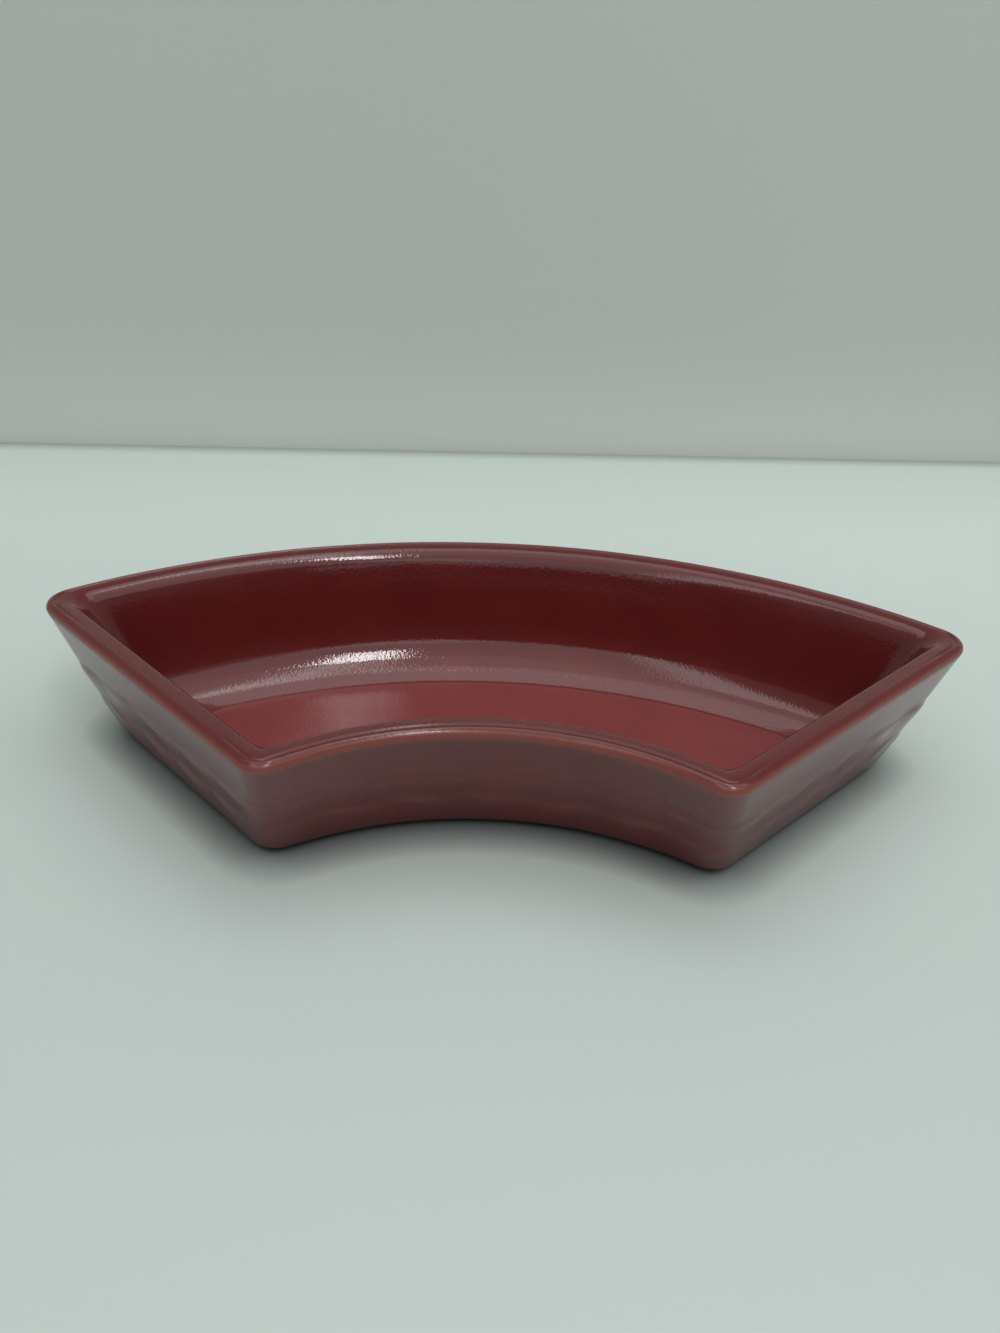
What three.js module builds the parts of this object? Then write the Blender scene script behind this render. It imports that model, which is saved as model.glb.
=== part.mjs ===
// Crescent relish dish: one piece of glazed stoneware, an open annular sector that flares from foot to rim.
// Millimetres, Z up. The dish stands on Z = 0 with its box centred on X = 0, Y = 0; the big arc faces +Y.
import * as THREE from 'three';

// Plan of the rim's outer edge. Both arcs share one centre; the two end lines meet a little in front of it.
const outerRadius = 211.6;
const innerRadius = 85.2;
const halfAngle = THREE.MathUtils.degToRad(44.1);
const endLineApex = -1.1;
const outerCornerRadius = 10.6;
const innerCornerRadius = 8;

// Heights and walls.
const height = 46;
const outerDraft = 13.9;
const innerArcDraft = 20;
const wallThickness = 9.2;
const wellDraft = 11.2;
const wellInnerArcDraft = 17.3;
const floorHeight = 5;
const floorFilletRadius = 14.6;
const floorFilletCentreHeight = 20.1;
const floorRampSlope = THREE.MathUtils.degToRad(18);

// Rim: a rolled outer edge, then one lip that starts nearly flat and rolls over into the well's wall.
const rimRoll = 2.2;
const lipEnd = 9.7;
const lipDrop = 4.4;
const lipReach = 4;
const lipSag = 0.15;
const lipSteepening = 3.4;
const wellTopCornerRadius = 8;
const wellFloorCornerRadius = 12;

// Foot: a flat ring that bears on the table, rounded outside, with a shallow recess inside it.
const footRoll = 4.5;
const footWidth = 6;
const recessDepth = 1.1;
const footCornerRadius = 7;

// Woven relief: rows of strands round the outside, pushed out where they pass over, soft everywhere.
const weaveBottom = 4.5;
const weaveRowHeight = 12;
const weaveRows = 2;
const weaveStepsPerRow = 5;
const weaveRepeatsPerHalf = 15;
const weaveDepth = 1.3;
const weaveUnderShare = 0.35;

// Stations along half of the outline, and how many finer ones replace each of them in the relief.
const outerArcSteps = 12;
const cornerSteps = 6;
const endSteps = 9;
const innerArcSteps = 7;
const reliefFineness = 3;
const lipSteps = 7;
const rollSteps = 3;
const filletSteps = 5;

const wallTop = height - rimRoll;
const leftEndNormal = new THREE.Vector2(Math.cos(halfAngle), Math.sin(halfAngle));
const leftEndDirection = new THREE.Vector2(-Math.sin(halfAngle), Math.cos(halfAngle));
const endNormalAngle = Math.PI + halfAngle;

// Centre of a corner's circle: `depth` inside the left end line and `reach` from the arcs' centre.
function cornerCentre(depth, reach) {
  const base = new THREE.Vector2(0, endLineApex).addScaledVector(leftEndNormal, depth);
  const along = base.dot(leftEndDirection);
  const run = -along + Math.sqrt(along * along - base.lengthSq() + reach * reach);
  return base.addScaledVector(leftEndDirection, run);
}

function arcStations(centre, radius, startAngle, endAngle, steps, turned) {
  const stations = [];
  for (let i = 0; i < steps; i += 1) {
    const angle = THREE.MathUtils.lerp(startAngle, endAngle, i / steps);
    const spoke = new THREE.Vector2(Math.cos(angle), Math.sin(angle));
    const point = centre.clone().addScaledVector(spoke, radius);
    stations.push({ point, normal: spoke.multiplyScalar(turned ? -1 : 1) });
  }
  return stations;
}

// One closed outline, anticlockwise from above, starting at the middle of the big arc.
function outline(inset, radii, fineness) {
  const origin = new THREE.Vector2(0, 0);
  const bigRadius = outerRadius - inset.outer;
  const smallRadius = innerRadius + inset.inner;
  const outerCorner = cornerCentre(inset.end + radii.outer, bigRadius - radii.outer);
  const innerCorner = cornerCentre(inset.end + radii.inner, smallRadius + radii.inner);
  const outerAngle = outerCorner.angle();
  const innerAngle = innerCorner.angle();
  const middle = Math.PI / 2;
  const endFrom = outerCorner.clone().addScaledVector(leftEndNormal, -radii.outer);
  const endTo = innerCorner.clone().addScaledVector(leftEndNormal, -radii.inner);
  const endStations = [];
  for (let i = 0; i < endSteps * fineness; i += 1) {
    const point = endFrom.clone().lerp(endTo, i / (endSteps * fineness));
    endStations.push({ point, normal: leftEndNormal.clone().negate() });
  }
  const half = [
    ...arcStations(origin, bigRadius, middle, outerAngle, outerArcSteps * fineness, false),
    ...arcStations(outerCorner, radii.outer, outerAngle, endNormalAngle, cornerSteps * fineness, false),
    ...endStations,
    ...arcStations(innerCorner, radii.inner, endNormalAngle, innerAngle + Math.PI, cornerSteps * fineness, false),
    ...arcStations(origin, smallRadius, innerAngle, middle, innerArcSteps * fineness, true),
  ];
  const last = { point: new THREE.Vector2(0, smallRadius), normal: new THREE.Vector2(0, -1) };
  const mirrored = half.slice(1).reverse().map(({ point, normal }) => ({
    point: new THREE.Vector2(-point.x, point.y),
    normal: new THREE.Vector2(-normal.x, normal.y),
  }));
  return [...half, last, ...mirrored];
}

const rimRadii = { outer: outerCornerRadius, inner: innerCornerRadius };
const rimOutline = outline({ outer: 0, end: 0, inner: 0 }, rimRadii, 1);
const rimYs = rimOutline.map(({ point }) => point.y);
const boxCentreY = (Math.max(...rimYs) + Math.min(...rimYs)) / 2;

// Wall insets: how far each side stands inside the rim's outer edge at a height.
function draftAt(draft, z) {
  return draft * (1 - z / wallTop);
}

function outsideInset(z, extra) {
  return {
    outer: draftAt(outerDraft, z) + extra,
    end: draftAt(outerDraft, z) + extra,
    inner: draftAt(innerArcDraft, z) + extra,
  };
}

function evenInset(amount) {
  return { outer: amount, end: amount, inner: amount };
}

// The well's wall leans, rolls towards the floor on one fillet radius and meets it on a ramp.
function wellSideInset(draft, z) {
  const lean = Math.atan(draft / wallTop);
  const centreZ = floorFilletCentreHeight;
  const centreInset = wallThickness + draftAt(draft, centreZ) + floorFilletRadius / Math.cos(lean);
  const wallEndZ = centreZ - floorFilletRadius * Math.sin(lean);
  const rampStartZ = centreZ - floorFilletRadius * Math.cos(floorRampSlope);
  if (z >= wallEndZ) {
    return wallThickness + draftAt(draft, z);
  }
  if (z >= rampStartZ) {
    return centreInset - Math.sqrt(floorFilletRadius ** 2 - (centreZ - z) ** 2);
  }
  const rampStart = centreInset - floorFilletRadius * Math.sin(floorRampSlope);
  return rampStart + (rampStartZ - z) / Math.tan(floorRampSlope);
}

function wellRow(z) {
  const side = wellSideInset(wellDraft, z);
  const share = (height - lipDrop - z) / (height - lipDrop - floorHeight);
  const radius = THREE.MathUtils.lerp(wellTopCornerRadius, wellFloorCornerRadius, share);
  return {
    z,
    inset: { outer: side, end: side, inner: wellSideInset(wellInnerArcDraft, z) },
    radii: { outer: radius, inner: radius },
  };
}

function outsideRow(z, extra) {
  return {
    z,
    inset: outsideInset(Math.min(z, wallTop), extra),
    radii: { outer: outerCornerRadius - extra, inner: innerCornerRadius - extra },
  };
}

function rimRow(inset, drop, radii) {
  return { z: height - drop, inset: evenInset(inset), radii };
}

// Height of the relief at a place along the outline, given as a count of repeats, and at a height.
function weaveHeight(repeats, z) {
  const climb = (z - weaveBottom) / weaveRowHeight;
  const row = Math.min(Math.floor(climb), weaveRows - 1);
  const strand = Math.sin(Math.PI * (climb - row));
  const over = 0.5 - 0.5 * Math.cos(2 * Math.PI * (repeats + 0.5 * (weaveRows - 1 - row)));
  return weaveDepth * Math.max(strand, 0) * (weaveUnderShare + (1 - weaveUnderShare) * over);
}

// Repeats counted along the left half of the outline and mirrored, so the weave is the same both ways round.
function repeatsAlong(stations) {
  const counts = [0];
  for (let i = 1; i < stations.length; i += 1) {
    counts.push(counts[i - 1] + stations[i].point.distanceTo(stations[i - 1].point));
  }
  const half = counts[stations.length / 2];
  return counts.map((length) => (weaveRepeatsPerHalf * length) / half);
}

const footRows = [
  { z: recessDepth, inset: outsideInset(0, footRoll + footWidth + 2 * recessDepth) },
  { z: recessDepth / 2, inset: outsideInset(0, footRoll + footWidth + recessDepth / 2) },
  { z: 0, inset: outsideInset(0, footRoll + footWidth) },
  { z: 0, inset: outsideInset(0, footRoll) },
].map((row) => ({ ...row, radii: { outer: footCornerRadius, inner: footCornerRadius } }));

const footRollRows = [];
for (let i = 1; i <= rollSteps; i += 1) {
  const turn = (Math.PI / 2) * (i / rollSteps);
  const row = outsideRow(footRoll * (1 - Math.cos(turn)), footRoll * (1 - Math.sin(turn)));
  row.radii = {
    outer: THREE.MathUtils.lerp(outerCornerRadius, footCornerRadius, Math.cos(turn)),
    inner: THREE.MathUtils.lerp(innerCornerRadius, footCornerRadius, Math.cos(turn)),
  };
  footRollRows.push(row);
}

const weaveRowsList = [];
for (let i = 0; i <= weaveRows * weaveStepsPerRow; i += 1) {
  const z = weaveBottom + (weaveRowHeight * i) / weaveStepsPerRow;
  weaveRowsList.push({ ...outsideRow(z, 0), fineness: reliefFineness });
}

const rimRollRows = [];
for (let i = 0; i <= rollSteps; i += 1) {
  const turn = (Math.PI / 2) * (i / rollSteps);
  rimRollRows.push(outsideRow(wallTop + rimRoll * Math.sin(turn), rimRoll * (1 - Math.cos(turn))));
}

// The lip's curve, as distances in from the outer edge and drops below the top. It ends along the well's wall.
const lipRadii = { outer: wellTopCornerRadius, inner: wellTopCornerRadius };
const lipCurve = new THREE.CubicBezierCurve(
  new THREE.Vector2(rimRoll, 0),
  new THREE.Vector2(rimRoll + lipReach, lipSag),
  new THREE.Vector2(lipEnd - (lipSteepening * wellDraft) / wallTop, lipDrop - lipSteepening),
  new THREE.Vector2(lipEnd, lipDrop),
);
const lipRows = lipCurve.getPoints(lipSteps).slice(1).map(({ x, y }) => rimRow(x, y, lipRadii));

const lean = Math.atan(wellDraft / wallTop);
const wellRows = [];
for (let i = 0; i <= filletSteps; i += 1) {
  const turn = THREE.MathUtils.lerp(lean, Math.PI / 2 - floorRampSlope, i / filletSteps);
  wellRows.push(wellRow(floorFilletCentreHeight - floorFilletRadius * Math.sin(turn)));
}
wellRows.push(wellRow(floorHeight));

const rows = [
  ...footRows,
  ...footRollRows,
  ...weaveRowsList,
  ...rimRollRows,
  ...lipRows,
  ...wellRows,
];

// Every row becomes a ring of vertices; neighbouring rings are stitched, finer against coarser too.
const positions = [];
const triangles = [];

function addRing(row) {
  const fineness = row.fineness ?? 1;
  const stations = outline(row.inset, row.radii, fineness);
  const repeats = repeatsAlong(stations);
  const first = positions.length / 3;
  stations.forEach(({ point, normal }, i) => {
    const push = fineness > 1 ? weaveHeight(repeats[i], row.z) : 0;
    positions.push(point.x + normal.x * push, point.y + normal.y * push - boxCentreY, row.z);
  });
  return { first, count: stations.length, stations };
}

function stitch(lower, upper) {
  let i = 0;
  let j = 0;
  while (i < lower.count || j < upper.count) {
    const a = lower.first + (i % lower.count);
    const b = upper.first + (j % upper.count);
    const lowerNext = (i + 1) / lower.count;
    const upperNext = (j + 1) / upper.count;
    if (lowerNext <= upperNext) {
      i += 1;
      triangles.push(a, lower.first + (i % lower.count), b);
    } else {
      j += 1;
      triangles.push(a, upper.first + (j % upper.count), b);
    }
  }
}

function cap(ring, facesUp) {
  const contour = ring.stations.map(({ point }) => point);
  THREE.ShapeUtils.triangulateShape(contour, []).forEach(([a, b, c]) => {
    const order = facesUp ? [a, b, c] : [a, c, b];
    triangles.push(...order.map((index) => ring.first + index));
  });
}

const rings = rows.map(addRing);
for (let i = 1; i < rings.length; i += 1) {
  stitch(rings[i - 1], rings[i]);
}
cap(rings[0], false);
cap(rings[rings.length - 1], true);

const geometry = new THREE.BufferGeometry();
geometry.setAttribute('position', new THREE.Float32BufferAttribute(positions, 3));
geometry.setIndex(triangles);
geometry.computeVertexNormals();

const glaze = new THREE.MeshStandardMaterial({ color: 0x8a2f2b, roughness: 0.12, metalness: 0 });
const dish = new THREE.Mesh(geometry, glaze);
dish.name = 'dish';

const group = new THREE.Group();
group.add(dish);

export default group;
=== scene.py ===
"""Crescent relish dish in red glazed stoneware, standing on a pale table."""
import math
from itertools import accumulate
from typing import NamedTuple

import bmesh
import bpy
from mathutils import Matrix, Vector, noise


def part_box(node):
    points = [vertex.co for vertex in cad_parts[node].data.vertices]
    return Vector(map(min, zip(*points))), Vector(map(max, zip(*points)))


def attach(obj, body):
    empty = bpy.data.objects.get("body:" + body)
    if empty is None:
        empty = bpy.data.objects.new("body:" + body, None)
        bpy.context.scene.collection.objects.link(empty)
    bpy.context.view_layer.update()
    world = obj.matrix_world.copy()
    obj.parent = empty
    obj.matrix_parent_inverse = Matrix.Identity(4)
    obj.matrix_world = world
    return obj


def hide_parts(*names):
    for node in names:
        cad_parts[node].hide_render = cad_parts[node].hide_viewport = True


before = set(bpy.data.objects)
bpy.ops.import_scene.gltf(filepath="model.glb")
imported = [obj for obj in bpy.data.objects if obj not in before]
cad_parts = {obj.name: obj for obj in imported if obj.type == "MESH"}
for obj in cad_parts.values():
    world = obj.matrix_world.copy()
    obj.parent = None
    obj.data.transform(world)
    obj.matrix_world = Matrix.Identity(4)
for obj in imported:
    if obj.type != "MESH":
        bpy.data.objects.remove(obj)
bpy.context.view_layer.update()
_, DISH_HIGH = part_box("dish")

MM = 0.001
FULL_TURN = 2 * math.pi

# Plan of the rim's outer edge: two arcs on one centre, and two end lines that meet near it.
OUTER_RADIUS = 211.6 * MM
INNER_RADIUS = 85.2 * MM
HALF_ANGLE = math.radians(44.1)
END_LINE_APEX = -1.1 * MM
OUTER_CORNER = 10.6 * MM
INNER_CORNER = 8 * MM
ARC_CENTRE = Vector((0, DISH_HIGH.y - OUTER_RADIUS, 0))

# The left-hand end: the way into the dish, the way out along its line, and the angle of its outward side.
END_NORMAL = Vector((math.cos(HALF_ANGLE), math.sin(HALF_ANGLE), 0))
END_DIRECTION = Vector((-math.sin(HALF_ANGLE), math.cos(HALF_ANGLE), 0))
END_ANGLE = math.pi + HALF_ANGLE

# Heights and walls. A draft is how far a wall leans in between the rim and the table.
HEIGHT = DISH_HIGH.z
RIM_ROLL = 2.2 * MM
WALL_TOP = HEIGHT - RIM_ROLL
OUTER_DRAFT = 13.9 * MM
INNER_DRAFT = 20 * MM
WALL = 9.2 * MM
WELL_DRAFT = 11.2 * MM
WELL_INNER_DRAFT = 17.3 * MM
WELL_TOP_CORNER = 8 * MM
WELL_FLOOR_CORNER = 12 * MM
FLOOR_HEIGHT = 5 * MM
FLOOR_FILLET = 14.6 * MM
FILLET_CENTRE_HEIGHT = 20.1 * MM
RAMP_SLOPE = math.radians(18)

# The rim's lip, a curve from the edge of the roll to the well's wall: its end, and how it leaves and arrives.
LIP_END = 9.7 * MM
LIP_DROP = 4.4 * MM
LIP_REACH = 4 * MM
LIP_SAG = 0.15 * MM
LIP_STEEPENING = 3.4 * MM

# The rim is flatter on the inner arc and the ends. This grows away from the big arc and fades into the lip.
FLAT_SHARE = 0.75
FLAT_GROWTH = 12 * MM
FLAT_FADE = (6.5 * MM, LIP_END - 0.5 * MM)

# The fine groove in the rim. Along an end it fades out and comes back, at shares of the end's length.
GROOVE_INSET = 3.1 * MM
GROOVE_HALF_WIDTH = 0.75 * MM
GROOVE_DEPTH = 0.42 * MM
GROOVE_CORNERS = (8 * MM, 2.5 * MM)
GROOVE_FADES_OUT = (-0.02, 0.2)
GROOVE_COMES_BACK = (0.85, 1.02)
GROOVE_END_REACH = (8 * MM, 12 * MM)

# Foot ring and the shallow recess inside it. A row on each side holds the ring's inner edge.
FOOT_ROLL = 4.5 * MM
FOOT_WIDTH = 6 * MM
FOOT_CORNER = 7 * MM
FOOT_EDGE_HOLD = 0.4 * MM
RECESS_DEPTH = 1.1 * MM
RECESS_SLOPE = 2.2 * MM
RECESS_LEVEL = 4 * MM

# Woven relief on the outside: two rows of strands, each with a soft ledge at its top.
WEAVE_BOTTOM = 4.5 * MM
WEAVE_ROW_HEIGHT = 12 * MM
WEAVE_ROWS = 2
WEAVE_TOP = WEAVE_BOTTOM + WEAVE_ROWS * WEAVE_ROW_HEIGHT
WEAVE_REPEATS_PER_HALF = 15
WEAVE_DEPTH = 0.7 * MM
WEAVE_UNDER_SHARE = 0.2
WEAVE_LEDGE = 3.4 * MM
WEAVE_WAVE = 0.9 * MM

# Slow waves of the glaze, and finer ones that run along the arcs. What stands on the table stays flat.
RIPPLE_LENGTH = 22 * MM
RIPPLE_DEPTH = 0.16 * MM
STREAK_LENGTH = 26 * MM
STREAK_WIDTH = 5 * MM
STREAK_DEPTH = 0.07 * MM
TABLE_CONTACT = 0.1 * MM

# Rows of the surface, closer together where it turns.
LOWER_STRAND_HEIGHTS = [z * MM for z in (8.5, 11.5, 13.5, 14.8, 16, 17.2)]
UPPER_STRAND_HEIGHTS = [z * MM for z in (20.5, 23.5, 25.5, 26.8, 28, 29.4)]
PLAIN_BAND_HEIGHTS = [z * MM for z in (33, 42)]
LIP_SHARES = (0.07, 0.14, 0.21, 0.3, 0.42, 0.56, 0.72, 0.87, 1)
WELL_HEIGHTS = [z * MM for z in (40, 36, 29)]
CREASE_HEIGHT = 0.15 * MM
FLOOR_INSETS = [inset * MM for inset in (0, 0.5, 1, 1.5, 3)]
ROLL_STEPS = 3
FILLET_STEPS = 6

# Steps along the parts of one outline.
ARC_STEPS = 12
CORNER_STEPS = 6
END_STEPS = 12
OUTLINE_STEPS = 2 * (2 * ARC_STEPS + 2 * CORNER_STEPS + END_STEPS)

# The outlines are first drawn this far above one another, so that each joins its neighbours only.
STACK_STEP = 10 * MM

# Glaze pools on what faces up, and there it is also lightened as painted light from above: a little in the
# fillet, less the higher it lies, and fully inside the crease.
WELL_FACING = 0.1
FILLET_POOLING_AND_LIGHT = 0.35
FILLET_POOLING_AND_LIGHT_TOP = 24 * MM
FLOOR_POOLING_AND_LIGHT_EDGE = (0.8 * MM, 1.1 * MM)

# Glaze that ran thin over the rim's roll: where this starts and is full, and how far up it may face.
THIN_START = 2.2 * MM
THIN_FULL = 0.5 * MM
THIN_FACING = (0.5, 0.95)

# Colours of the glaze, as the two shades that its mottling mixes, and where it is thin. The floor's shades
# are lighter partly from pooled glaze and partly as painted light from above.
WALL_GLAZE = ((0.09, 0.009, 0.009), (0.13, 0.015, 0.015))
FLOOR_GLAZE_AND_PAINTED_LIGHT = ((0.2, 0.04, 0.04), (0.25, 0.055, 0.055))
THIN_GLAZE = (0.19, 0.034, 0.024)
GLAZE_IOR = 1.57
GLAZE_ROUGHNESS = 0.05
FLOOR_ROUGHNESS = 0.15
THIN_ROUGHNESS = 0.35
MOTTLE_SIZE = 18 * MM
GRAIN_SIZE = 0.9 * MM
GRAIN_DEPTH = 0.043 * MM

# The photograph's camera, solved from the rim, the base and the floor's arc. Its place is from ARC_CENTRE.
FRAME_HEIGHT_PX = 1333
FOCAL_LENGTH_PX = 1200.3
SENSOR_MM = 36
CAMERA_PLACE = Vector((2.46, -182.8, 215.25)) * MM
CAMERA_YAW = 0.009
CAMERA_PITCH = 0.51
CAMERA_ROLL = -0.042

# The stage, in metres. As painted shade, the table is paler far from the camera and darker near it, and the
# wall behind it darker higher up; the table also gets a painted contact shadow under the dish.
STAGE_WIDTH = 6
BACKDROP_HEIGHT = 0.26
BACKDROP_PLACE = (0, 0.301, BACKDROP_HEIGHT / 2)
BACKDROP_TURN = math.radians(4.3)
TABLE_NEAR_PAINTED_SHADE = (0.555, 0.625, 0.6)
TABLE_FAR = (0.67, 0.755, 0.715)
WALL_PAINTED_LIGHT_LOW = (0.61, 0.63, 0.6)
WALL_PAINTED_SHADE_HIGH = (0.54, 0.56, 0.53)
CONTACT_SHADOW_REACH = 0.013

# The room's light. Lamps that overlap hang a little below one another, so that their light adds up.
ROOM_COLOUR = (0.75, 0.8, 0.78)
ROOM_DIM = 0.08
ROOM_ABOVE = 0.3
ROOM_SIDES = 0.38
CEILING = 1.5
LAMP_SPACING = 0.03
PANEL_TURN = -16.7
TUBE_TURN = 13


class Row(NamedTuple):
    """A closed outline of the dish.

    The insets are how far it lies inside the rim's outer edge: at the big arc and ends, and at the small arc.
    The corners are its radii at the big arc and at the small one.
    """

    height: float
    insets: tuple
    corners: tuple


def smooth_step(low, high, value):
    """Rises softly from 0 at low to 1 at high."""
    share = min(max((value - low) / (high - low), 0), 1)
    return share * share * (3 - 2 * share)


def corner_centre(depth, reach):
    """Centre of a left-hand corner, depth inside the end line and reach from the arcs' centre."""
    base = Vector((0, END_LINE_APEX, 0)) + END_NORMAL * depth
    along = base.dot(END_DIRECTION)
    run = -along + math.sqrt(along * along - base.length_squared + reach * reach)
    return base + END_DIRECTION * run


def draft_at(draft, z):
    """How far a wall has leaned in at a height."""
    return draft * (1 - min(z, WALL_TOP) / WALL_TOP)


def outside_row(z, extra=0.0, corners=None):
    """A row of the outside wall, or one drawn in from it by an extra inset."""
    inset = draft_at(OUTER_DRAFT, z) + extra
    inner_inset = draft_at(INNER_DRAFT, z) + extra
    return Row(z, (inset, inner_inset), corners or (OUTER_CORNER - extra, INNER_CORNER - extra))


def foot_row(inset, height=0.0):
    """A row under the foot, at an inset from the plan that the walls have at the table."""
    return Row(height, outside_row(0, inset).insets, (FOOT_CORNER, FOOT_CORNER))


def rim_row(inset, drop):
    """A row of the rim's top, at an inset from its outer edge and a drop below its top."""
    return Row(HEIGHT - drop, (inset, inset), (WELL_TOP_CORNER, WELL_TOP_CORNER))


def well_inset(draft, z):
    """The well's wall leans, rolls towards the floor and meets it on a ramp."""
    lean = math.atan(draft / WALL_TOP)
    centre_z = FILLET_CENTRE_HEIGHT
    centre_inset = WALL + draft_at(draft, centre_z) + FLOOR_FILLET / math.cos(lean)
    ramp_start_z = centre_z - FLOOR_FILLET * math.cos(RAMP_SLOPE)
    if z >= centre_z - FLOOR_FILLET * math.sin(lean):
        return WALL + draft_at(draft, z)
    if z >= ramp_start_z:
        return centre_inset - math.sqrt(FLOOR_FILLET**2 - (centre_z - z) ** 2)
    ramp_start = centre_inset - FLOOR_FILLET * math.sin(RAMP_SLOPE)
    return ramp_start + (ramp_start_z - z) / math.tan(RAMP_SLOPE)


def well_row(z, extra=0.0):
    """A row of the well, or one drawn in from it by an extra inset; its corners widen towards the floor."""
    share = (HEIGHT - LIP_DROP - z) / (HEIGHT - LIP_DROP - FLOOR_HEIGHT)
    corner = WELL_TOP_CORNER + (WELL_FLOOR_CORNER - WELL_TOP_CORNER) * share
    insets = (well_inset(WELL_DRAFT, z) + extra, well_inset(WELL_INNER_DRAFT, z) + extra)
    return Row(z, insets, (corner, corner))


def lip_point(share):
    """Inset and drop at a share of the lip: one cubic curve from the top's edge to the well's wall."""
    start = Vector((RIM_ROLL, 0))
    start_pull = Vector((RIM_ROLL + LIP_REACH, LIP_SAG))
    end = Vector((LIP_END, LIP_DROP))
    end_pull = end - LIP_STEEPENING * Vector((WELL_DRAFT / WALL_TOP, 1))
    rest = 1 - share
    return (
        start * rest**3
        + start_pull * 3 * rest**2 * share
        + end_pull * 3 * rest * share**2
        + end * share**3
    )


def quarter_turn(first):
    """The angles of a roll's rows, from the first one that is wanted up to a quarter turn."""
    return [math.pi / 2 * i / ROLL_STEPS for i in range(first, ROLL_STEPS + 1)]


def foot_rows():
    """Rows from the recess, over the foot ring and up round the foot's roll."""
    inside_ring = FOOT_ROLL + FOOT_WIDTH
    rows = [
        foot_row(inside_ring + RECESS_LEVEL, RECESS_DEPTH),
        foot_row(inside_ring + RECESS_SLOPE, RECESS_DEPTH),
        foot_row(inside_ring + FOOT_EDGE_HOLD),
        foot_row(inside_ring - FOOT_EDGE_HOLD),
        foot_row(FOOT_ROLL),
    ]
    for turn in quarter_turn(1):
        share = math.cos(turn)
        corners = [corner + (FOOT_CORNER - corner) * share for corner in (OUTER_CORNER, INNER_CORNER)]
        rows.append(outside_row(FOOT_ROLL * (1 - share), FOOT_ROLL * (1 - math.sin(turn)), corners))
    return rows


def rim_rows():
    """Rows over the rim's roll and down its lip."""
    rows = []
    for turn in quarter_turn(0):
        rows.append(outside_row(WALL_TOP + RIM_ROLL * math.sin(turn), RIM_ROLL * (1 - math.cos(turn))))
    for share in LIP_SHARES:
        inset, drop = lip_point(share)
        rows.append(rim_row(inset, drop))
    return rows


def well_rows():
    """Rows down the well's wall and fillet, and onto the floor past its crease."""
    rows = [well_row(z) for z in WELL_HEIGHTS]
    lean = math.atan(WELL_DRAFT / WALL_TOP)
    for i in range(FILLET_STEPS + 1):
        turn = lean + (math.pi / 2 - RAMP_SLOPE - lean) * i / FILLET_STEPS
        rows.append(well_row(FILLET_CENTRE_HEIGHT - FLOOR_FILLET * math.sin(turn)))
    rows.append(well_row(FLOOR_HEIGHT + CREASE_HEIGHT))
    rows += [well_row(FLOOR_HEIGHT, inset) for inset in FLOOR_INSETS]
    return rows


def profile_rows():
    """Rows from the recess under the foot, up the outside, over the rim and down to the floor."""
    wall_heights = LOWER_STRAND_HEIGHTS + UPPER_STRAND_HEIGHTS + PLAIN_BAND_HEIGHTS
    wall_rows = [outside_row(z) for z in wall_heights]
    return foot_rows() + wall_rows + rim_rows() + well_rows()


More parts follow.
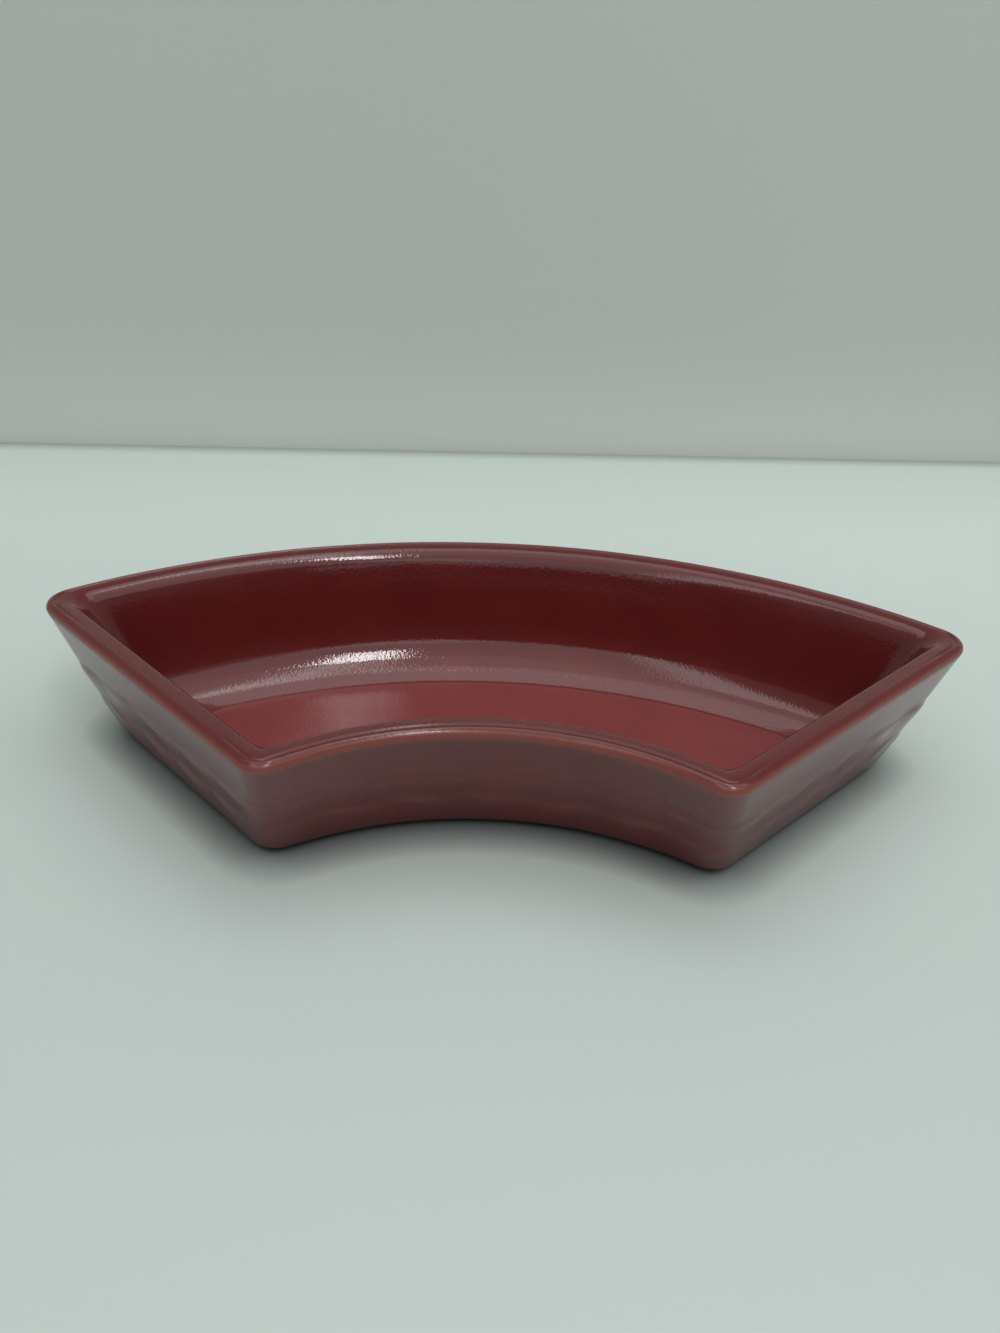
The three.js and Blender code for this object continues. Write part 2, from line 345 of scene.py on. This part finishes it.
class Outline:
    """The left half of a row's outline: its radii, its corner centres and where its arcs end."""

    def __init__(self, row):
        inset, inner_inset = row.insets
        self.outer_corner, self.inner_corner = row.corners
        self.big_radius = OUTER_RADIUS - inset
        self.small_radius = INNER_RADIUS + inner_inset
        self.outer_centre = corner_centre(inset + self.outer_corner, self.big_radius - self.outer_corner)
        self.inner_centre = corner_centre(inset + self.inner_corner, self.small_radius + self.inner_corner)
        self.outer_along = self.outer_centre.dot(END_DIRECTION)
        self.inner_along = self.inner_centre.dot(END_DIRECTION)
        self.outer_angle = math.atan2(self.outer_centre.y, self.outer_centre.x)
        self.inner_angle = math.atan2(self.inner_centre.y, self.inner_centre.x)
        self.big_sweep = self.outer_angle - math.pi / 2
        self.outer_sweep = END_ANGLE - self.outer_angle
        self.inner_sweep = self.inner_angle + math.pi - END_ANGLE
        self.small_sweep = self.inner_angle - math.pi / 2
        corner_step = END_NORMAL * (self.outer_corner - self.inner_corner)
        self.end_run = self.inner_centre - self.outer_centre + corner_step
        self.lengths = (
            self.big_radius * self.big_sweep,
            self.outer_corner * self.outer_sweep,
            self.end_run.length,
            self.inner_corner * self.inner_sweep,
            self.small_radius * self.small_sweep,
        )

    def locate(self, point):
        """How far along the half outline a point of it lies, and the wall's outward normal there."""
        angle = math.atan2(point.y, point.x)
        along = point.dot(END_DIRECTION)
        past_big_arc, past_outer_corner, past_end, past_inner_corner, _ = accumulate(self.lengths)
        on_big_side = point.length > (self.big_radius + self.small_radius) / 2
        if on_big_side and angle < self.outer_angle:
            return self.big_radius * (angle - math.pi / 2), point.normalized()
        if not on_big_side and angle < self.inner_angle:
            return past_inner_corner + self.small_radius * (self.inner_angle - angle), -point.normalized()
        if along > self.outer_along:
            spoke = (point - self.outer_centre).normalized()
            turn = math.atan2(spoke.y, spoke.x) % FULL_TURN - self.outer_angle
            return past_big_arc + self.outer_corner * turn, spoke
        if along < self.inner_along:
            spoke = (point - self.inner_centre).normalized()
            turn = math.atan2(spoke.y, spoke.x) % FULL_TURN - END_ANGLE
            return past_end + self.inner_corner * turn, spoke
        return past_outer_corner + self.outer_along - along, -END_NORMAL

    def depth(self, point):
        """How far inside the outline a point of the left half lies."""
        end_depth = (point - self.outer_centre).dot(END_NORMAL) + self.outer_corner
        depth = min(self.big_radius - point.length, point.length - self.small_radius, end_depth)
        angle = math.atan2(point.y, point.x)
        along = point.dot(END_DIRECTION)
        if along > self.outer_along and angle > self.outer_angle:
            return min(depth, self.outer_corner - (point - self.outer_centre).length)
        if along < self.inner_along and angle > self.inner_angle:
            return min(depth, self.inner_corner - (point - self.inner_centre).length)
        return depth


def spin(centre, angle, steps):
    """Carries the selected vertex round a centre, anticlockwise from above, with an edge for each step."""
    bpy.ops.mesh.spin(steps=steps, angle=-angle, center=centre, axis=(0, 0, 1))


def march(offset, steps):
    """Carries the selected vertex along a straight line, with an edge for each step."""
    for _ in range(steps):
        bpy.ops.mesh.extrude_region_move(TRANSFORM_OT_translate={"value": offset / steps})


def mirrored(vector):
    """What a vector of the left half is in the right half."""
    return Vector((-vector.x, vector.y, vector.z))


def draw_outline(row, z):
    """Draws an outline at a height, anticlockwise from the middle of the big arc to one step short of it."""
    line = Outline(row)
    level = ARC_CENTRE + Vector((0, 0, z))
    start = level + Vector((0, line.big_radius, 0))
    bpy.ops.mesh.primitive_circle_add(vertices=3, radius=MM, location=start)
    bpy.ops.mesh.merge(type="CENTER")
    spin(level, line.big_sweep, ARC_STEPS)
    spin(level + line.outer_centre, line.outer_sweep, CORNER_STEPS)
    march(line.end_run, END_STEPS)
    spin(level + line.inner_centre, line.inner_sweep, CORNER_STEPS)
    spin(level, -2 * line.small_sweep, 2 * ARC_STEPS)
    spin(level + mirrored(line.inner_centre), line.inner_sweep, CORNER_STEPS)
    march(-mirrored(line.end_run), END_STEPS)
    spin(level + mirrored(line.outer_centre), line.outer_sweep, CORNER_STEPS)
    last_steps = ARC_STEPS - 1
    spin(level, line.big_sweep * last_steps / ARC_STEPS, last_steps)


def outline_numbers(row_number):
    """The numbers of the vertices in a row's outline, in the order in which they are drawn."""
    first = row_number * OUTLINE_STEPS
    return range(first, first + OUTLINE_STEPS)


def select_vertices(mesh, chosen, active=None):
    """Selects the vertices with the given numbers and what they span, and nothing else."""
    bpy.ops.mesh.select_all(action="DESELECT")
    shape = bmesh.from_edit_mesh(mesh)
    shape.verts.ensure_lookup_table()
    for number in chosen:
        shape.verts[number].select = True
    if active is not None:
        shape.select_history.add(shape.verts[active])
    shape.select_flush(True)
    bmesh.update_edit_mesh(mesh)


def draw_rows(mesh, rows):
    """Draws the rows' outlines as a stack, and closes each of them."""
    for number, row in enumerate(rows):
        bpy.ops.mesh.select_all(action="DESELECT")
        draw_outline(row, number * STACK_STEP)
        numbers = outline_numbers(number)
        select_vertices(mesh, (numbers[0], numbers[-1]))
        bpy.ops.mesh.edge_face_add()
    bpy.ops.mesh.select_mode(type="VERT", use_extend=False)


def skin_rows(mesh, row_count):
    """Bridges each outline with the next, and fills the first and last with grids that start in a corner."""
    for number in range(1, row_count):
        select_vertices(mesh, [*outline_numbers(number - 1), *outline_numbers(number)])
        bpy.ops.mesh.bridge_edge_loops()
    for number in (0, row_count - 1):
        numbers = outline_numbers(number)
        select_vertices(mesh, numbers, numbers[ARC_STEPS + CORNER_STEPS // 2])
        bpy.ops.mesh.fill_grid(span=END_STEPS + CORNER_STEPS)


def settle_rows(mesh, rows):
    """Drops every outline of the stack, and the grids that close its two ends, to their own heights."""
    shape = bmesh.from_edit_mesh(mesh)
    for vertex in shape.verts:
        vertex.co.z = rows[round(vertex.co.z / STACK_STEP)].height
    bmesh.update_edit_mesh(mesh)


def left_half(place):
    """A place as seen from the arcs' centre and mirrored to the left, and the side that it came from."""
    point = place - ARC_CENTRE
    side = -1 if point.x > 0 else 1
    return Vector((side * point.x, point.y, 0)), side


def weave_height(share, z):
    """The relief at a share of the half outline and a height: strands that rise over and dip under."""
    turn = FULL_TURN * WEAVE_REPEATS_PER_HALF * share
    climb = (z - WEAVE_BOTTOM + WEAVE_WAVE * math.sin(turn)) / WEAVE_ROW_HEIGHT
    if not 0 < climb < WEAVE_ROWS:
        return 0.0
    row = math.floor(climb)
    ledge_start = 1 - WEAVE_LEDGE / WEAVE_ROW_HEIGHT
    strand = smooth_step(0, ledge_start, climb - row) * (1 - smooth_step(ledge_start, 1, climb - row))
    over = 0.5 - 0.5 * math.cos(turn + math.pi * (WEAVE_ROWS - 1 - row))
    return WEAVE_DEPTH * strand * (WEAVE_UNDER_SHARE + (1 - WEAVE_UNDER_SHARE) * over)


def press_weave(dish):
    """Pushes the outside wall out into the woven relief. Heights equal to a micrometre share an outline."""
    lines = {}
    places = [(vertex.co.copy(), vertex.normal.copy()) for vertex in dish.data.vertices]
    for vertex, (place, facing) in zip(dish.data.vertices, places):
        z = round(place.z, 6)
        if not FOOT_ROLL < z < WEAVE_TOP + WEAVE_WAVE:
            continue
        if z not in lines:
            lines[z] = Outline(outside_row(z))
        point, side = left_half(place)
        length, normal = lines[z].locate(point)
        outward = Vector((side * normal.x, normal.y, 0))
        if facing.dot(outward) > 0:
            vertex.co = place + outward * weave_height(length / sum(lines[z].lengths), z)


def shape_rim(dish):
    """Flattens the rim except along the big arc, and presses the fine groove."""
    edge = Outline(outside_row(WALL_TOP))
    groove = Outline(Row(HEIGHT, (GROOVE_INSET, GROOVE_INSET), GROOVE_CORNERS))
    end_length = groove.end_run.length
    for vertex in dish.data.vertices:
        if vertex.co.z < HEIGHT - LIP_DROP:
            continue
        point, _ = left_half(vertex.co)
        depth = edge.depth(point)
        if depth < RIM_ROLL:
            continue
        from_big_arc = smooth_step(0, FLAT_GROWTH, edge.big_radius - point.length - depth)
        flatness = FLAT_SHARE * from_big_arc * (1 - smooth_step(*FLAT_FADE, depth))
        vertex.co.z += flatness * (HEIGHT - vertex.co.z)
        along = (groove.outer_centre - point).dot(END_DIRECTION) / end_length
        along_end = smooth_step(*GROOVE_FADES_OUT, along) * (1 - smooth_step(*GROOVE_COMES_BACK, along))
        near_end = 1 - smooth_step(*GROOVE_END_REACH, (point - groove.outer_centre).dot(END_NORMAL))
        away = min(abs(groove.depth(point)) / GROOVE_HALF_WIDTH, 1)
        vertex.co.z -= GROOVE_DEPTH * (1 - along_end * near_end) * (0.5 + 0.5 * math.cos(math.pi * away))


def ripple(dish):
    """Sinks the glaze's surface by slow, shallow waves and by streaks along the arcs."""
    middle_radius = (OUTER_RADIUS + INNER_RADIUS) / 2
    sinks = []
    for vertex in dish.data.vertices:
        point = vertex.co - ARC_CENTRE
        along = math.atan2(point.x, point.y) * middle_radius
        across = math.hypot(point.x, point.y)
        wave = noise.noise(vertex.co / RIPPLE_LENGTH)
        streak = noise.noise(Vector((along / STREAK_LENGTH, across / STREAK_WIDTH, point.z / STREAK_WIDTH)))
        depth = RIPPLE_DEPTH * (0.5 + 0.5 * wave) + STREAK_DEPTH * (0.5 + 0.5 * streak)
        sinks.append(vertex.normal * depth)
    for vertex, sink in zip(dish.data.vertices, sinks):
        if vertex.co.z > TABLE_CONTACT:
            vertex.co -= sink


def note_glaze(dish):
    """Notes where the glaze has pooled in the well and is lightened as painted light from above, and where it
    ran thin over the rim's outer edge.
    """
    pooled_and_top_lit = dish.data.attributes.new("pooled_and_top_lit", "FLOAT", "POINT")
    thin = dish.data.attributes.new("thin", "FLOAT", "POINT")
    floor_line = Outline(well_row(FLOOR_HEIGHT))
    rim_line = Outline(outside_row(WALL_TOP))
    for number, vertex in enumerate(dish.data.vertices):
        point, _ = left_half(vertex.co)
        # What faces up low in the well gets the lighter glaze: pooled glaze, and painted light from above.
        if vertex.normal.z > WELL_FACING and vertex.co.z < WALL_TOP - LIP_DROP:
            in_fillet = FILLET_POOLING_AND_LIGHT * (1 - smooth_step(FLOOR_HEIGHT, FILLET_POOLING_AND_LIGHT_TOP, vertex.co.z))
            on_floor = smooth_step(*FLOOR_POOLING_AND_LIGHT_EDGE, floor_line.depth(point))
            pooled_and_top_lit.data[number].value = max(in_fillet, on_floor)
        if vertex.co.z > WALL_TOP - THIN_START and rim_line.depth(point) < RIM_ROLL:
            over_roll = smooth_step(WALL_TOP - THIN_START, WALL_TOP - THIN_FULL, vertex.co.z)
            thin.data[number].value = over_roll * (1 - smooth_step(*THIN_FACING, vertex.normal.z))


def start_dish():
    """An object with an empty mesh, left in edit mode for the outlines."""
    bpy.ops.object.select_all(action="DESELECT")
    bpy.ops.mesh.primitive_circle_add(vertices=3, radius=MM)
    dish = bpy.context.object
    dish.name = "glazed_dish"
    bpy.ops.object.mode_set(mode="EDIT")
    bpy.ops.mesh.delete(type="VERT")
    return dish


def build_dish():
    """Draws the outlines, skins them, smooths the whole and presses the fine forms into it."""
    dish = start_dish()
    rows = profile_rows()
    draw_rows(dish.data, rows)
    skin_rows(dish.data, len(rows))
    settle_rows(dish.data, rows)
    bpy.ops.mesh.select_all(action="SELECT")
    bpy.ops.mesh.normals_make_consistent(inside=False)
    bpy.ops.object.mode_set(mode="OBJECT")
    smoothing = dish.modifiers.new("smoothing", "SUBSURF")
    smoothing.levels = smoothing.render_levels = 2
    bpy.ops.object.modifier_apply(modifier=smoothing.name)
    note_glaze(dish)
    press_weave(dish)
    shape_rim(dish)
    ripple(dish)
    bpy.ops.object.shade_smooth()
    return dish


def add_mix(tree, share, first, second):
    """Mixes two colours by a share; each colour is a socket or a plain colour."""
    mix = tree.nodes.new("ShaderNodeMix")
    mix.data_type = "RGBA"
    tree.links.new(share, mix.inputs["Factor"])
    # The node has sockets for numbers and vectors too, under the same names. These are the ones for colours.
    colour_sockets = (mix.inputs[6], mix.inputs[7])
    for socket, colour in zip(colour_sockets, (first, second)):
        if isinstance(colour, tuple):
            socket.default_value = (*colour, 1)
        else:
            tree.links.new(colour, socket)
    return mix.outputs[2]


def add_noise(tree, size, detail):
    """Noise in the object's own space, with features of about the given size."""
    place = tree.nodes.new("ShaderNodeTexCoord").outputs["Object"]
    texture = tree.nodes.new("ShaderNodeTexNoise")
    texture.inputs["Scale"].default_value = 1 / size
    texture.inputs["Detail"].default_value = detail
    tree.links.new(place, texture.inputs["Vector"])
    return texture.outputs[0]


def add_range(tree, value, places, results):
    """Carries a value from one range to another, and holds it at the ends."""
    mapped = tree.nodes.new("ShaderNodeMapRange")
    mapped.inputs["From Min"].default_value, mapped.inputs["From Max"].default_value = places
    mapped.inputs["To Min"].default_value, mapped.inputs["To Max"].default_value = results
    tree.links.new(value, mapped.inputs["Value"])
    return mapped.outputs["Result"]


def add_maximum(tree, first, second):
    """The larger of two values."""
    larger = tree.nodes.new("ShaderNodeMath")
    larger.operation = "MAXIMUM"
    tree.links.new(first, larger.inputs[0])
    tree.links.new(second, larger.inputs[1])
    return larger.outputs[0]


def add_attribute(tree, name):
    """What was noted on the mesh under a name."""
    attribute = tree.nodes.new("ShaderNodeAttribute")
    attribute.attribute_name = name
    return attribute.outputs["Fac"]


def glaze_material():
    """Glossy red glaze: dark on the walls, fuller on the floor from pooled glaze and painted light from
    above, brownish where it is thin, and mottled.
    """
    material = bpy.data.materials.new("red_glaze")
    material.use_nodes = True
    tree = material.node_tree
    shader = tree.nodes["Principled BSDF"]
    shader.inputs["IOR"].default_value = GLAZE_IOR
    mottle = add_noise(tree, MOTTLE_SIZE, 3)
    wall = add_mix(tree, mottle, *WALL_GLAZE)
    floor = add_mix(tree, mottle, *FLOOR_GLAZE_AND_PAINTED_LIGHT)
    # The floor's lighter glaze is partly pooled glaze and partly painted light from above.
    body = add_mix(tree, add_attribute(tree, "pooled_and_top_lit"), wall, floor)
    colour = add_mix(tree, add_attribute(tree, "thin"), body, THIN_GLAZE)
    tree.links.new(colour, shader.inputs["Base Color"])
    floor_range = (GLAZE_ROUGHNESS, FLOOR_ROUGHNESS)
    floor_roughness = add_range(tree, add_attribute(tree, "pooled_and_top_lit"), (0.5, 1), floor_range)
    thin_range = (GLAZE_ROUGHNESS, THIN_ROUGHNESS)
    thin_roughness = add_range(tree, add_attribute(tree, "thin"), (0, 1), thin_range)
    roughness = add_maximum(tree, floor_roughness, thin_roughness)
    tree.links.new(roughness, shader.inputs["Roughness"])
    grain = tree.nodes.new("ShaderNodeBump")
    grain.inputs["Distance"].default_value = GRAIN_DEPTH
    tree.links.new(add_noise(tree, GRAIN_SIZE, 2), grain.inputs["Height"])
    tree.links.new(grain.outputs["Normal"], shader.inputs["Normal"])
    return material


def stage_material(name, roughness, low, high):
    """A plain paint with painted shade graded along its plane; low and high are a place, from -0.5 to 0.5,
    and a colour.
    """
    material = bpy.data.materials.new(name)
    material.use_nodes = True
    tree = material.node_tree
    shader = tree.nodes["Principled BSDF"]
    shader.inputs["Roughness"].default_value = roughness
    split = tree.nodes.new("ShaderNodeSeparateXYZ")
    ramp = tree.nodes.new("ShaderNodeMapRange")
    ramp.interpolation_type = "SMOOTHSTEP"
    ramp.inputs["From Min"].default_value = low[0]
    ramp.inputs["From Max"].default_value = high[0]
    tree.links.new(tree.nodes.new("ShaderNodeTexCoord").outputs["Object"], split.inputs[0])
    tree.links.new(split.outputs["Y"], ramp.inputs["Value"])
    colour = add_mix(tree, ramp.outputs["Result"], low[1], high[1])
    tree.links.new(colour, shader.inputs["Base Color"])
    return material


def paint_contact_shadow(material, reach):
    """Paints a contact shadow: deepens a material's colour where something stands close over it."""
    tree = material.node_tree
    base = tree.nodes["Principled BSDF"].inputs["Base Color"]
    closeness = tree.nodes.new("ShaderNodeAmbientOcclusion")
    closeness.inputs["Distance"].default_value = reach
    tree.links.new(base.links[0].from_socket, closeness.inputs["Color"])
    tree.links.new(closeness.outputs["Color"], base)


def see_through_from_behind(material):
    """Lets the camera look through the back of a stage wall, so that a view from behind shows the dish."""
    tree = material.node_tree
    shader = tree.nodes["Principled BSDF"]
    output = tree.nodes["Material Output"]
    camera_ray = tree.nodes.new("ShaderNodeLightPath").outputs["Is Camera Ray"]
    behind = tree.nodes.new("ShaderNodeNewGeometry").outputs["Backfacing"]
    both = tree.nodes.new("ShaderNodeMath")
    both.operation = "MULTIPLY"
    clear = tree.nodes.new("ShaderNodeBsdfTransparent")
    mix = tree.nodes.new("ShaderNodeMixShader")
    tree.links.new(camera_ray, both.inputs[0])
    tree.links.new(behind, both.inputs[1])
    tree.links.new(both.outputs[0], mix.inputs[0])
    tree.links.new(shader.outputs["BSDF"], mix.inputs[1])
    tree.links.new(clear.outputs["BSDF"], mix.inputs[2])
    tree.links.new(mix.outputs["Shader"], output.inputs["Surface"])


def add_plane(name, height, place=(0, 0, 0), rotation=(0, 0, 0)):
    """A plane of the stage, as wide as the stage, with its middle at a place."""
    bpy.ops.object.select_all(action="DESELECT")
    bpy.ops.mesh.primitive_plane_add(size=1, location=place, rotation=rotation)
    plane = bpy.context.object
    plane.name = name
    plane.scale = (STAGE_WIDTH, height, 1)
    return plane


def add_stage():
    """The pale table, and the low wall behind it."""
    table = add_plane("table", STAGE_WIDTH)
    # The table's colour runs from painted shade near the camera to paler far from it.
    table_top = stage_material("table_top", 0.5, (-0.02, TABLE_NEAR_PAINTED_SHADE), (0.045, TABLE_FAR))
    # A painted contact shadow on the table, close round the dish's foot.
    paint_contact_shadow(table_top, CONTACT_SHADOW_REACH)
    table.data.materials.append(table_top)
    wall = add_plane("wall", BACKDROP_HEIGHT, BACKDROP_PLACE, (math.pi / 2, 0, BACKDROP_TURN))
    # The wall's colour grows darker higher up, as painted shade.
    paint = stage_material("wall_paint_with_painted_shade", 0.8, (-0.5, WALL_PAINTED_LIGHT_LOW), (-0.2, WALL_PAINTED_SHADE_HIGH))
    see_through_from_behind(paint)
    wall.data.materials.append(paint)


def add_room():
    """Dim surroundings, darkest low behind the camera."""
    world = bpy.data.worlds.new("room")
    bpy.context.scene.world = world
    world.use_nodes = True
    tree = world.node_tree
    background = tree.nodes["Background"]
    background.inputs["Color"].default_value = (*ROOM_COLOUR, 1)
    direction = tree.nodes.new("ShaderNodeTexCoord").outputs["Generated"]
    split = tree.nodes.new("ShaderNodeSeparateXYZ")
    tree.links.new(direction, split.inputs[0])
    above = add_range(tree, split.outputs["Z"], (0.17, 0.24), (ROOM_DIM, ROOM_ABOVE))
    sides = add_range(tree, split.outputs["Y"], (-0.85, -0.45), (ROOM_DIM, ROOM_SIDES))
    tree.links.new(add_maximum(tree, above, sides), background.inputs["Strength"])


def add_panel(name, middle, size, brightness, turn=0.0, tilt=0.0):
    """A bright rectangle, which faces straight down untilted. Brightness 1 is a white wall in full light."""
    data = bpy.data.lights.new(name, "AREA")
    data.shape = "RECTANGLE"
    data.size, data.size_y = size
    data.energy = brightness * math.pi * size[0] * size[1]
    lamp = bpy.data.objects.new(name, data)
    lamp.location = middle
    lamp.rotation_euler = (math.radians(tilt), 0, math.radians(turn))
    bpy.context.scene.collection.objects.link(lamp)


def add_lights():
    """The bright parts of the ceiling, the tube lamp in it, and the wall far behind the camera."""
    second_level = CEILING - LAMP_SPACING
    third_level = CEILING - 2 * LAMP_SPACING
    tube_level = CEILING - 3 * LAMP_SPACING
    add_panel("ceiling_panel", (0.25, -2.7, CEILING), (3.4, 6.6), 0.6, PANEL_TURN)
    add_panel("bright_edge", (-1.19, -2.5, second_level), (0.4, 4.5), 1.05, PANEL_TURN)
    add_panel("far_glow", (0.9, -4.2, second_level), (1.6, 2.6), 0.42, PANEL_TURN)
    add_panel("near_glow", (0, 0.45, second_level), (2.4, 0.7), 0.5)
    add_panel("side_glow", (0.24, -0.3, third_level), (0.8, 0.8), 0.15, TUBE_TURN)
    add_panel("tube_lamp", (0.41, -1, tube_level), (0.14, 1), 16, TUBE_TURN)
    add_panel("tube_end", (0.186, -0.03, tube_level), (0.105, 0.95), 2.5, TUBE_TURN)
    add_panel("far_wall", (0.3, -6.4, 1.2), (6, 0.6), 0.6, tilt=90)


def add_camera():
    """The photograph's view."""
    data = bpy.data.cameras.new("photo_view")
    data.sensor_width = SENSOR_MM
    data.lens = FOCAL_LENGTH_PX * SENSOR_MM / FRAME_HEIGHT_PX
    camera = bpy.data.objects.new("photo_view", data)
    yaw = Matrix.Rotation(CAMERA_YAW, 3, "Z")
    pitch = Matrix.Rotation(-CAMERA_PITCH, 3, "X")
    roll = Matrix.Rotation(CAMERA_ROLL, 3, "Y")
    level = Matrix.Rotation(math.pi / 2, 3, "X")
    turn = yaw @ pitch @ roll @ level
    camera.matrix_world = Matrix.Translation(ARC_CENTRE + CAMERA_PLACE) @ turn.to_4x4()
    bpy.context.scene.collection.objects.link(camera)
    bpy.context.scene.camera = camera


dish = build_dish()
dish.data.materials.append(glaze_material())
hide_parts("dish")
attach(dish, "root")
add_stage()
add_room()
add_lights()
add_camera()

bpy.context.scene.view_settings.view_transform = "Standard"
